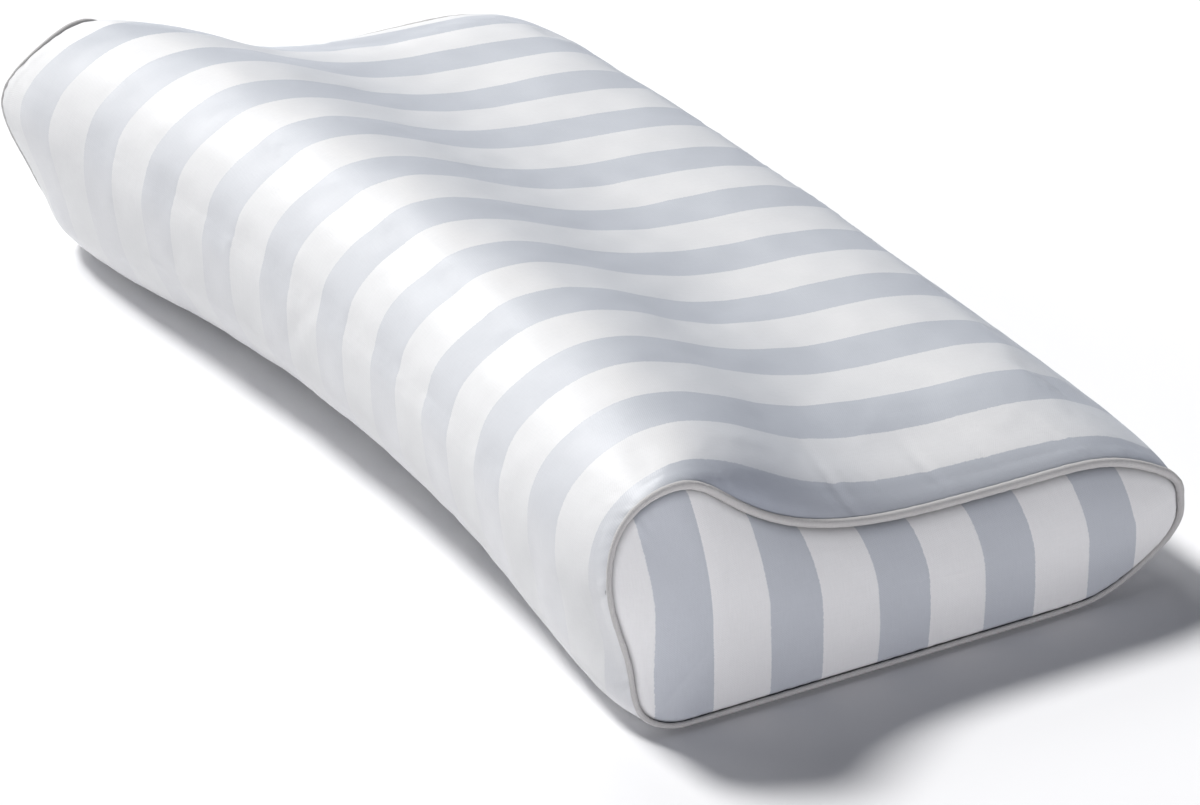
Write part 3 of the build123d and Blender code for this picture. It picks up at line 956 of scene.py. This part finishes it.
hollow = relief(wrap_points, wrap_arc, 100)
hollow += drag_lines(wrap_points, wrap_arc, RIGHT_LINES, 1)
hollow += drag_lines(wrap_points, wrap_arc, LEFT_LINES, -1)
hollow -= swell_at(wrap_points) * seam_fade(wrap_points)
hollow *= row_fade(wrap_rows, len(front_seam_rows) + 6, 22, 12)
wrap_points = pressed(wrap_points, surface_normals(wrap_points), hollow)


TILTS = (-100, -50, -12, 0, 35, 75, 100)  # degrees from facing up; the front is positive
# Shares of painted sheen (positive, to the front) and painted shade (negative, to the back) at each tilt.
PAINTED_LIGHT_TURNS = (-0.4, -1, -0.25, 0, 0.42, 0.5, 1)
UNDERSIDE_TILT = -120      # beyond this a surface belongs to the underside


def painted_light_turn(normal):
    """Shares of painted sheen and painted shade by where the surface faces: 0 up, 1 low on the front, -1
    on the back's rounding.
    """
    tilt = np.degrees(np.arctan2(-normal[..., 1], normal[..., 2]))
    return np.interp(np.where(tilt < UNDERSIDE_TILT, 180, tilt), TILTS, PAINTED_LIGHT_TURNS)


def grid_piece(name, points, arc, material):
    """A piece from a grid of points. Its fabric runs along the pillow and round it."""
    # Painted sheen and shade by where each point faces go into the satin map; no painted shade next to
    # the piping here.
    painted_light_share = smoothed(painted_light_turn(surface_normals(points)), 8)
    return make_piece(
        name,
        points.reshape(-1, 3),
        grid_faces(*points.shape[:2]),
        material,
        fabric=np.stack([points[..., 0], arc], axis=-1).reshape(-1, 2),
        satin=np.stack([painted_light_share, 0 * painted_light_share], axis=-1),
    )


wrap = grid_piece("cover_wrap", wrap_points, wrap_arc, wrap_fabric)
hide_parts("cover_wrap_panel")

# Back strip: from the lower edge of the zip down and round to the underside seam.
lower_end = np.stack([WALL + 0 * lower_edge, lower_edge - FOLD_RADIUS], axis=-1)
foot_end = foot_rows[-1]
back_seam_y = under_back + 0 * lift_rows
under_edge = np.stack([back_seam_y + SEAM_GAP, lift_rows], axis=-1)
back_rows = np.array(
    fold_rows(lower_edge, -1)[::-1]
    + spread(lower_end, foot_rows[0], 4)[:-1]
    + list(foot_rows)
    + spread(foot_end, under_edge, 6)
    + underside_fold(back_seam_y + SEAM_GAP, lift_rows, -1)[1:]
)
back_points = placed(back_rows, smoothed(seam_x_rows(back_rows[:, -1]), 3))
back_arc = arc_length(back_rows)
back_hollow = relief(back_points, back_arc, 300) - swell_at(back_points) * seam_fade(back_points)
back_hollow *= row_fade(back_rows, 12, 14, 6)
back_points = pressed(back_points, surface_normals(back_points), back_hollow)
back_strip = grid_piece("cover_back", back_points, back_arc, wrap_fabric)
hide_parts("cover_back_strip")

# Underside: a plain panel between the two underside seams.
front_line = np.stack([under_front + SEAM_GAP, lift_rows], axis=-1)
back_line = np.stack([back_seam_y - SEAM_GAP, lift_rows], axis=-1)
under_rows = np.array(
    underside_fold(back_seam_y - SEAM_GAP, lift_rows, 1)[::-1]
    + spread(back_line, front_line, 60)
    + underside_fold(under_front + SEAM_GAP, lift_rows, -1)[1:]
)
under_points = placed(under_rows, seam_x_rows(under_rows[:, -1]))
under_arc = arc_length(under_rows)
sag = 0.25 + 0.25 * waves(under_points[..., 0], under_arc, 40.0, 500)
under_points[..., 2] += np.clip(sag, 0, 1) * (1 - np.abs(STATIONS)) ** 0.3
under = grid_piece("cover_underside", under_points, under_arc, underside_fabric)
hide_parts("cover_bottom_panel")


# End panels, piping and cords.
PAINTED_SHADE_DEPTH = 2.7         # how far in from its outline an end panel gets painted shade next to the piping
ROLL_LOW = 2.2             # how far behind its face an end panel starts at the piping
ROLL_RISE = 3.6            # how far it then rises
ROLL_START = 1.6           # where it starts to rise, in from the outline
ROLL_LENGTH = 1.3
LEAN_START = 4.0           # the lean grows with the setback from this
LEAN_RANGE = 7.0


def end_panel(side, name):
    """A puffed end panel inside its seam. side is 1 for the near end and -1 for the far one."""
    middle = medial_points(OUTLINE)
    inward = middle - OUTLINE
    reach = np.linalg.norm(inward, axis=1)
    inward_unit = inward / reach[:, None]
    share = (np.arange(END_RINGS + 1) / END_RINGS) ** 1.7
    depth = share[:, None] * reach[None, :]
    flat = OUTLINE[None] + depth[..., None] * inward_unit[None]
    falloff = (1 - share[:, None]) ** 1.8
    roll = ROLL_RISE * (1 - np.exp(-np.maximum(depth - ROLL_START, 0) / ROLL_LENGTH)) - ROLL_LOW
    x = SIDE_FACE - OUTLINE_SETBACK * falloff + roll
    seed = 700 + 40 * side
    arc = OUTLINE_ARC[None]
    pucker = ripples(arc + 0.1 * depth, 7.5, seed) * np.clip(depth / 1.2, 0, 1) * np.exp(-depth / 5.0)
    strength = np.clip(0.55 + 0.5 * ripples(arc, 50.0, seed + 3), 0.1, 1.4)
    x = x + 0.34 * strength * pucker
    x = x + 0.30 * waves(flat[..., 0], flat[..., 1], 38.0, seed + 5) * np.clip(depth / 15.0, 0, 1)
    lean = LEAN * falloff * np.clip((OUTLINE_SETBACK[None] - LEAN_START) / LEAN_RANGE, 0, 1)
    lean = lean * np.clip(OUTLINE_NORMAL[None, :, 1], 0, 1)
    points = np.concatenate([(side * x)[..., None], flat], axis=-1)
    points[..., 0] += side * swell_at(points) * np.clip(depth / 8.0, 0, 1)
    fabric = np.stack([flat[..., 0] + lean, flat[..., 1]], axis=-1)
    faces = grid_faces(END_RINGS + 1, len(OUTLINE), close_columns=True, flip=side > 0)
    # The satin map carries painted shade next to the piping in its second channel.
    panel = make_piece(
        f"cover_end_{name}",
        points.reshape(-1, 3),
        faces,
        end_fabric,
        fabric=fabric.reshape(-1, 2),
        satin=np.stack([0 * depth, np.exp(-((depth / PAINTED_SHADE_DEPTH) ** 4))], axis=-1),
    )
    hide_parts(f"cover_end_panel_{name}")


def piping(side, name):
    """Bias-cut piping round an end seam, with its filler cord inside."""
    low = np.clip(np.maximum(-OUTLINE_NORMAL[:, 1], -OUTLINE_NORMAL[:, 0]), 0, 1)
    low = smoothed(low, 20, closed=True)
    radius = PIPING_RADIUS + (PIPING_RADIUS_LOW - PIPING_RADIUS) * low
    radius = smoothed(radius, 30, closed=True)
    lumps = 1 + 0.035 * ripples(OUTLINE_ARC, 9.0, 900 + side)
    lumps = lumps + 0.02 * ripples(OUTLINE_ARC, 4.0, 910 + side)
    proud = 0.2 - 0.9 * low
    centre = OUTLINE + OUTLINE_NORMAL * proud[:, None]
    path = np.column_stack([side * OUTLINE_SEAM_X, centre])
    across = np.column_stack([np.zeros(len(centre)), OUTLINE_NORMAL])
    along = np.tile((1.0, 0.0, 0.0), (len(centre), 1))
    points, faces = tube(path, radius * lumps, 14, across, along, closed=True)
    edging = make_piece(f"piping_{name}", points, faces, piping_fabric)
    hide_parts(f"end_piping_{name}")
    twist = np.arange(len(centre)) * 0.9
    strand_path = path + 0.12 * (np.cos(twist)[:, None] * across + np.sin(twist)[:, None] * along)
    points, faces = tube(strand_path, CORD_RADIUS, 8, across, along, closed=True)
    cord = make_piece(f"filler_cord_{name}", points, faces, cord_fabric)
    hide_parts(f"piping_cord_{name}")


for end_side, end_name in ((-1, "left"), (1, "right")):
    end_panel(end_side, end_name)
    piping(end_side, end_name)


# Liner and foam, inside the cover.
liner_sleeve, liner_cap = inner_shell(LINER_INSET)
sleeve = make_piece(
    "liner_tube",
    liner_sleeve.reshape(-1, 3),
    grid_faces(*liner_sleeve.shape[:2], close_rows=True),
    liner_fabric,
)
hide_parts("liner_sleeve")
for end_side, end_name in ((-1, "left"), (1, "right")):
    liner_parts = Parts()
    cap_parts(liner_parts, liner_cap, end_side)
    liner_end = liner_parts.piece(f"liner_cap_{end_name}", liner_fabric, "liner_fabric")
    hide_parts(f"liner_end_{end_name}")

foam_sleeve, foam_cap = inner_shell(FOAM_INSET)
foam_parts = Parts()
foam_parts.add(foam_sleeve.reshape(-1, 3), grid_faces(*foam_sleeve.shape[:2], close_rows=True))
for end_side in (-1, 1):
    cap_parts(foam_parts, foam_cap, end_side)
foam = foam_parts.piece("foam_block", foam_look, "foam")
join_points(foam.data, 0.00002)
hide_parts("foam_core")


# Zip: coils, stitches and the pieces kept from the CAD.
COIL_PITCH = 1.5
COIL_WIRE = 0.22
COIL_DEPTH = 0.93          # of its middle, in from the back wall
COIL_HALF_DEPTH = 0.5
COIL_MIDDLE = 1.65         # from the middle of the zip
COIL_HALF_WIDTH = 0.95
COIL_POINTS = 10           # in one turn
STOP_LENGTH = 2.0
STITCH_PITCH = 3.2
STITCH_LENGTH = 2.3
STITCH_RADIUS = 0.24
STITCH_AWAY = 2.4          # from the edge of the opening
BAR_TACK_PITCH = 0.9       # between the stitches across each end of the zip


def zip_coil(name, toward):
    """One row of nylon coil, wound along the tape's edge."""
    run = ZIP_LENGTH - 2 * STOP_LENGTH
    turns = int(run / COIL_PITCH)
    angle = np.arange(turns * COIL_POINTS + 1) * math.tau / COIL_POINTS
    path = np.column_stack(
        [
            -run / 2 + angle / math.tau * COIL_PITCH + (0.0 if toward > 0 else COIL_PITCH / 2),
            WALL - COIL_DEPTH + COIL_HALF_DEPTH * np.cos(angle),
            ZIP_HEIGHT + toward * (COIL_MIDDLE - COIL_HALF_WIDTH * np.sin(angle)),
        ]
    )
    path = path[path[:, 0] < run / 2 - COIL_WIRE]
    points, faces = tube(path, COIL_WIRE, 6, *across_path(path))
    coil = make_piece(f"zip_coil_{name}", points, faces, coil_nylon)
    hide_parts(f"zip_teeth_{name}")


def add_stitch(parts, middle, run):
    """One stitch, a thread that rises out of the fabric and goes back in. run goes from end to end."""
    share = np.linspace(-1, 1, 7)
    path = np.array(middle) + 0.5 * share[:, None] * np.array(run)
    path[:, 1] += 0.16 - 0.3 * share**4
    radius = STITCH_RADIUS * np.sqrt(np.clip(1.02 - share**4, 0.02, 1))
    parts.add(*tube(path, radius, 6, *across_path(path)))


zip_coil("upper", 1)
zip_coil("lower", -1)

zip_stitches = Parts()
stitch_z = SLOT_HALF + STITCH_AWAY
for toward in (1, -1):
    for stitch_x in np.arange(-half_slot - 1.0, half_slot + 1.0, STITCH_PITCH):
        place = (stitch_x, WALL, ZIP_HEIGHT + toward * stitch_z)
        add_stitch(zip_stitches, place, (STITCH_LENGTH, 0, 0))
for end_side in (-1, 1):
    for row in (0.8, 1.9):
        for height in np.arange(-stitch_z, stitch_z + 0.1, BAR_TACK_PITCH):
            place = (end_side * (half_slot + row), WALL, ZIP_HEIGHT + height)
            add_stitch(zip_stitches, place, (1.3 * end_side, 0, 0.5))
zip_stitches.piece("zip_topstitch", thread_fabric, "cover_fabric")


# Blank label, sewn into the left end seam.
LABEL_LENGTH = 30.0
LABEL_WIDTH = 18.0
LABEL_THICKNESS = 0.35
LABEL_GAP = 0.35           # from the back wall
LABEL_LIFT = 1.1           # of its free end
LABEL_COLUMNS = 25
LABEL_ROWS = 15


def care_label():
    """The label as a thin closed sheet, with the stitches that hold its sewn end."""
    columns = np.linspace(0, 1, LABEL_COLUMNS)
    rows = np.linspace(-0.5, 0.5, LABEL_ROWS)
    u, v = np.meshgrid(columns, rows, indexing="ij")
    start = -(SIDE_FACE - SETBACK - SETBACK_BACK)
    low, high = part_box("care_label")
    middle = (low.z + high.z) * 500
    x = start + LABEL_LENGTH * u
    y = WALL + LABEL_GAP + LABEL_LIFT * u**2.2 + 0.15 * np.sin(5 * u + 3 * v) * u
    z = middle + LABEL_WIDTH * v
    skins = [np.stack([x, y + depth, z], axis=-1).reshape(-1, 3) for depth in (0.0, LABEL_THICKNESS)]
    count = LABEL_COLUMNS * LABEL_ROWS
    faces = grid_faces(LABEL_COLUMNS, LABEL_ROWS).tolist()
    faces += (grid_faces(LABEL_COLUMNS, LABEL_ROWS, flip=True) + count).tolist()
    numbers = np.arange(count).reshape(LABEL_COLUMNS, LABEL_ROWS)
    sides = (numbers[0], numbers[1:, -1], numbers[-1, -2::-1], numbers[-2:0:-1, 0])
    rim = np.concatenate(sides).tolist()
    for here, after in zip(rim, rim[1:] + rim[:1]):
        faces.append([here, after, after + count, here + count])
    label = make_piece("blank_label", np.concatenate(skins), faces, label_fabric)
    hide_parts("care_label")
    stitches = Parts()
    for place in np.arange(-0.42, 0.43, 0.12):
        add_stitch(stitches, (start + 2.2, WALL + 0.75, middle + LABEL_WIDTH * place), (0, 0, 1.6))
    seam = stitches.piece("label_stitches", thread_fabric, "label")


care_label()


def dress(node, material):
    """Gives a CAD node's object a finished material."""
    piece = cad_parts[node]
    if not piece.material_slots:
        piece.data.materials.append(None)
    for material_slot in piece.material_slots:
        material_slot.link = "OBJECT"
        material_slot.material = material


for kept_node, kept_material in (
    ("zip_tape_upper", tape_fabric),
    ("zip_tape_lower", tape_fabric),
    ("zip_top_stops", stop_metal),
    ("zip_bottom_stop", stop_metal),
    ("zip_slider", slider_enamel),
    ("zip_pull_tab", slider_enamel),
):
    dress(kept_node, kept_material)


# Floor, light and camera.
def area_light(name, place, aim, size, power, colour=(1.0, 1.0, 1.0)):
    """A round lamp, in metres and watts."""
    light = bpy.data.lights.new(name, "AREA")
    light.shape = "DISK"
    light.size = size
    light.energy = power
    light.color = colour
    lamp = bpy.data.objects.new(name, light)
    lamp.location = place
    lamp.visible_camera = False
    lamp.rotation_euler = (Vector(aim) - Vector(place)).to_track_quat("-Z", "Y").to_euler()
    bpy.context.scene.collection.objects.link(lamp)


floor_nodes = Nodes("floor_white")
floor_grain = floor_nodes.noise(None, 3.0)
floor_tone = floor_nodes.mix(floor_grain, rgb(0.90, 0.90, 0.91), rgb(0.92, 0.92, 0.93))
floor_look = floor_nodes.finish(
    floor_nodes.principled({"Base Color": floor_tone, "Roughness": 0.9, "Specular IOR Level": 0.0})
)
bpy.ops.mesh.primitive_plane_add(size=30.0, location=(0, 0, -0.0002))
floor = bpy.context.object
floor.name = "floor"
floor.data.materials.append(floor_look)

scene = bpy.context.scene
world = bpy.data.worlds.new("studio")
world.use_nodes = True
background = world.node_tree.nodes["Background"]
background.inputs["Color"].default_value = (0.74, 0.82, 1.0, 1.0)
background.inputs["Strength"].default_value = 0.075
scene.world = world
scene.view_settings.view_transform = "Standard"

KEY_DIRECTION = (1.9, 0.6, -2.3)  # from the far end, and a little from the front
KEY_POWER = 3.5
KEY_SPREAD = 14.0          # degrees
sun = bpy.data.lights.new("key", "SUN")
sun.energy = KEY_POWER
sun.angle = math.radians(KEY_SPREAD)
sun.color = (1.0, 0.994, 0.985)
key = bpy.data.objects.new("key", sun)
key.rotation_euler = Vector(KEY_DIRECTION).to_track_quat("-Z", "Y").to_euler()
scene.collection.objects.link(key)
area_light("front", (-2.3, -1.9, 0.9), (-0.1, 0, 0.05), 1.2, 16.0)
area_light("far_top", (-1.5, 0.3, 1.2), (-0.2, 0, 0.1), 0.7, 9.0)
area_light("fill", (2.6, -0.5, 0.32), (0.1, 0, 0.05), 1.2, 27.5, (0.985, 0.965, 1.0))

CAMERA_PLACE = (2.5205, -1.3995, 1.4492)
AZIMUTH, ELEVATION, ROLL = (math.radians(angle) for angle in (60.709, 26.707, -1.209))
LENS = 207.74
level = Vector((math.sin(AZIMUTH), -math.cos(AZIMUTH), 0))
back = math.cos(ELEVATION) * level + Vector((0, 0, math.sin(ELEVATION)))
right = Vector((math.cos(AZIMUTH), math.sin(AZIMUTH), 0))
up = back.cross(right)
rolled_right = math.cos(ROLL) * right + math.sin(ROLL) * up
rolled_up = -math.sin(ROLL) * right + math.cos(ROLL) * up
camera_data = bpy.data.cameras.new("camera")
camera_data.lens = LENS
camera_data.sensor_width = 36.0
camera = bpy.data.objects.new("camera", camera_data)
turned = Matrix((rolled_right, rolled_up, back)).transposed().to_4x4()
camera.matrix_world = Matrix.Translation(CAMERA_PLACE) @ turned
scene.collection.objects.link(camera)
scene.camera = camera
